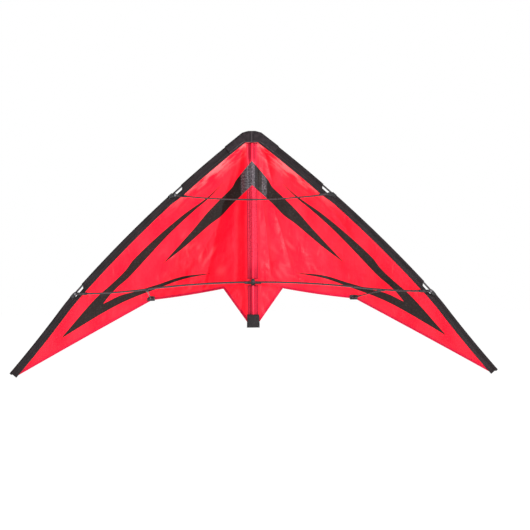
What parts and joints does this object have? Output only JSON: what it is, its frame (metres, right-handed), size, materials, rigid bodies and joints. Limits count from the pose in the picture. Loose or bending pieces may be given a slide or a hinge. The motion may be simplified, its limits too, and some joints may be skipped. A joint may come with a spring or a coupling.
{
  "type": "stunt kite",
  "caption": "Swept delta kite with a red cloth sail, black edge sleeves, a rod frame with folding wings, hinged spreaders and standoffs.",
  "frame": {"origin": "on the spine's axis at the middle of the centre tee; the bridle eye is a named mount", "axes": "+Z along the spine towards the nose, +X towards the right wing as the flyer sees it, +Y downwind, behind the sail"},
  "size_m": [1.3084, 0.1353, 0.6567],
  "materials": {
    "ripstop_red": "thin coated ripstop, light sheen",
    "pocket_red": "woven tape, sewn both sides",
    "sleeve_black": "woven polyester, dull",
    "webbing_black": "coarse woven webbing",
    "fibreglass_black": "pultruded fibreglass, satin",
    "ferrule_metal": "drawn tube, satin",
    "pin_metal": "nickel plated",
    "moulded_black": "moulded, fine texture",
    "soft_cap": "soft vinyl, matte"
  },
  "bodies": {
    "keel": {"spine_rod": "fibreglass_black", "spine_nose_cap": "soft_cap", "spine_tail_cap": "soft_cap", "spine_pocket": "pocket_red", "nose_patch": "webbing_black", "tail_patch": "webbing_black", "centre_tee": "moulded_black"},
    "left_wing": {"left_upper_edge_rod": "fibreglass_black", "left_lower_edge_rod": "fibreglass_black", "left_edge_ferrule": "ferrule_metal", "left_edge_nose_cap": "soft_cap", "left_edge_tip_cap": "soft_cap", "left_edge_sleeve": "sleeve_black", "left_sail": "ripstop_red", "left_lower_fitting": "moulded_black", "left_lower_hinge_pin": "pin_metal", "left_sail_jaw": "moulded_black", "left_sail_jaw_pin": "pin_metal", "left_upper_fitting": "moulded_black", "upper_hinge_pin": "pin_metal"},
    "left_lower_spreader": {"left_lower_spreader_rod": "fibreglass_black", "left_lower_socket": "moulded_black"},
    "left_standoff": {"left_standoff_rod": "fibreglass_black", "left_standoff_clip": "moulded_black", "left_standoff_foot": "moulded_black"},
    "right_wing": {"right_upper_edge_rod": "fibreglass_black", "right_lower_edge_rod": "fibreglass_black", "right_edge_ferrule": "ferrule_metal", "right_edge_nose_cap": "soft_cap", "right_edge_tip_cap": "soft_cap", "right_edge_sleeve": "sleeve_black", "right_sail": "ripstop_red", "right_lower_fitting": "moulded_black", "right_lower_hinge_pin": "pin_metal", "right_sail_jaw": "moulded_black", "right_sail_jaw_pin": "pin_metal", "right_upper_fitting": "moulded_black"},
    "right_lower_spreader": {"right_lower_spreader_rod": "fibreglass_black", "right_lower_socket": "moulded_black"},
    "right_standoff": {"right_standoff_rod": "fibreglass_black", "right_standoff_clip": "moulded_black", "right_standoff_foot": "moulded_black"},
    "upper_spreader": {"upper_spreader_rod": "fibreglass_black", "upper_socket": "moulded_black"}
  },
  "joints": [
    {"name": "left_wing_fold", "type": "hinge", "parent": "keel", "child": "left_wing", "pos_m": [0, 0.004, 0], "axis": [0, 0, -1], "range_deg": [0, 64], "deforming": ["nose_patch"]},
    {"name": "right_wing_fold", "type": "hinge", "parent": "keel", "child": "right_wing", "pos_m": [0, 0.004, 0], "axis": [0, 0, 1], "range_deg": [0, 64]},
    {"name": "left_lower_spreader_swing", "type": "hinge", "parent": "left_wing", "child": "left_lower_spreader", "pos_m": [-0.4758, -0.009, -0.02751], "axis": [0, -1, 0], "range_deg": [0, 32]},
    {"name": "right_lower_spreader_swing", "type": "hinge", "parent": "right_wing", "child": "right_lower_spreader", "pos_m": [0.4758, -0.009, -0.02751], "axis": [0, 1, 0], "range_deg": [0, 32]},
    {"name": "upper_spreader_swing", "type": "hinge", "parent": "left_wing", "child": "upper_spreader", "pos_m": [-0.206, -0.009, 0.2344], "axis": [0, 1, 0], "range_deg": [0, 90]},
    {"name": "left_standoff_swing", "type": "hinge", "parent": "left_wing", "child": "left_standoff", "pos_m": [-0.279, 0.08203, -0.044], "axis": [0.9978, -0.0658, 0], "range_deg": [0, 100]},
    {"name": "right_standoff_swing", "type": "hinge", "parent": "right_wing", "child": "right_standoff", "pos_m": [0.272, 0.04507, -0.044], "axis": [0.5747, 0.8184, 0], "range_deg": [0, 100]}
  ],
  "couplings": [
    {"joint": "right_wing_fold", "follows": "left_wing_fold", "ratio": 1},
    {"joint": "left_lower_spreader_swing", "follows": "left_wing_fold", "ratio": 0.5},
    {"joint": "right_lower_spreader_swing", "follows": "left_wing_fold", "ratio": 0.5},
    {"joint": "upper_spreader_swing", "follows": "left_wing_fold", "ratio": 1.4}
  ]
}
